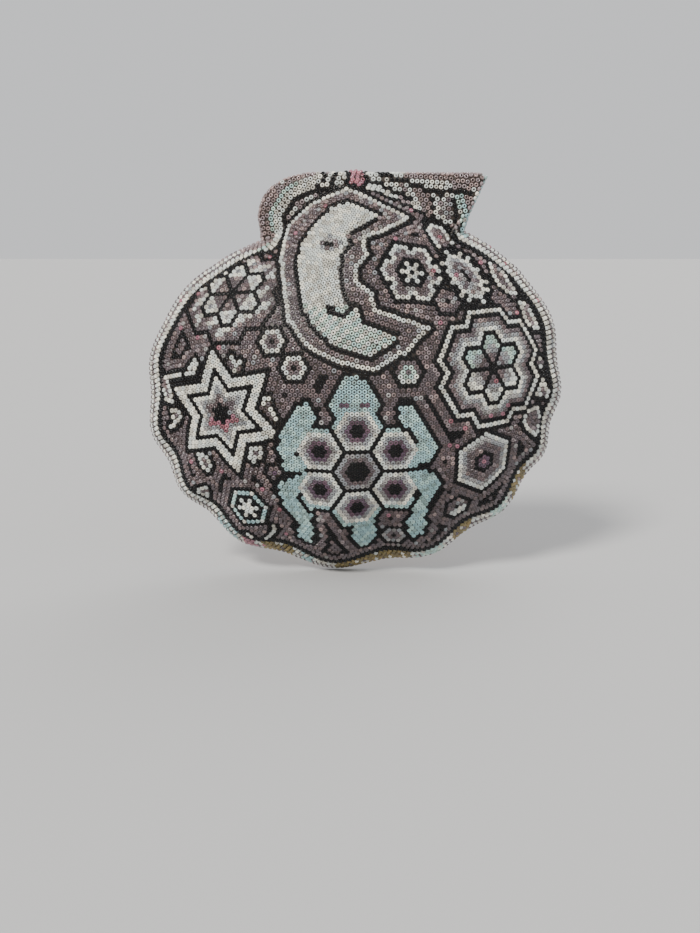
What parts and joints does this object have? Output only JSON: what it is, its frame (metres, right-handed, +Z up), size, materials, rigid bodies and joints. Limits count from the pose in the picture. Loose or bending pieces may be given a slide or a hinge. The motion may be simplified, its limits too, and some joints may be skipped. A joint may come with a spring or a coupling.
{
  "type": "beaded scallop shell",
  "caption": "Scallop shell valve, hollow behind, its convex face covered in a coat of beeswax set with glass seed beads in moon, turtle, star and flower motifs.",
  "frame": {"origin": "middle of the shell's hinge, on its flat back plane", "axes": "+Z up from the disc to the hinge, -Y the way the beaded convex face looks, +X to the right seen from the beaded side"},
  "size_m": [0.1722, 0.043, 0.1667],
  "materials": {
    "shell": "natural scallop shell, satin",
    "wax": "dark tinted beeswax",
    "white_beads": "opaque glossy",
    "mint_beads": "opaque glossy",
    "turquoise_beads": "opaque glossy",
    "mauve_beads": "opaque glossy",
    "pearl_beads": "opaque glossy",
    "black_beads": "opaque glossy"
  },
  "bodies": {
    "root": {"shell_valve": "shell", "wax_coat": "wax", "border_beads": "white_beads", "ear_right_beads": "mauve_beads", "ear_left_beads": "mauve_beads", "umbo_beads": "pearl_beads", "moon_face_beads": "white_beads", "moon_halo_beads": "mauve_beads", "sun_flower_beads": "pearl_beads", "sun_bud_beads": "mauve_beads", "zigzag_flower_beads": "white_beads", "ear_bud_beads": "mauve_beads", "half_flower_beads": "mint_beads", "ring_flower_beads": "pearl_beads", "rosette_beads": "mauve_beads", "turtle_head_beads": "turquoise_beads", "turtle_cell_1_beads": "pearl_beads", "turtle_cell_2_beads": "pearl_beads", "turtle_cell_3_beads": "pearl_beads", "turtle_cell_4_beads": "pearl_beads", "turtle_cell_5_beads": "pearl_beads", "turtle_cell_6_beads": "pearl_beads", "turtle_cell_7_beads": "pearl_beads", "turtle_arm_right_beads": "turquoise_beads", "turtle_arm_left_beads": "turquoise_beads", "turtle_leg_right_beads": "turquoise_beads", "turtle_leg_left_beads": "turquoise_beads", "turtle_tail_beads": "turquoise_beads", "star_beads": "white_beads", "petal_flower_beads": "white_beads", "twin_flower_upper_beads": "white_beads", "twin_flower_lower_beads": "white_beads", "low_flower_beads": "white_beads", "field_beads": "black_beads"}
  },
  "joints": []
}
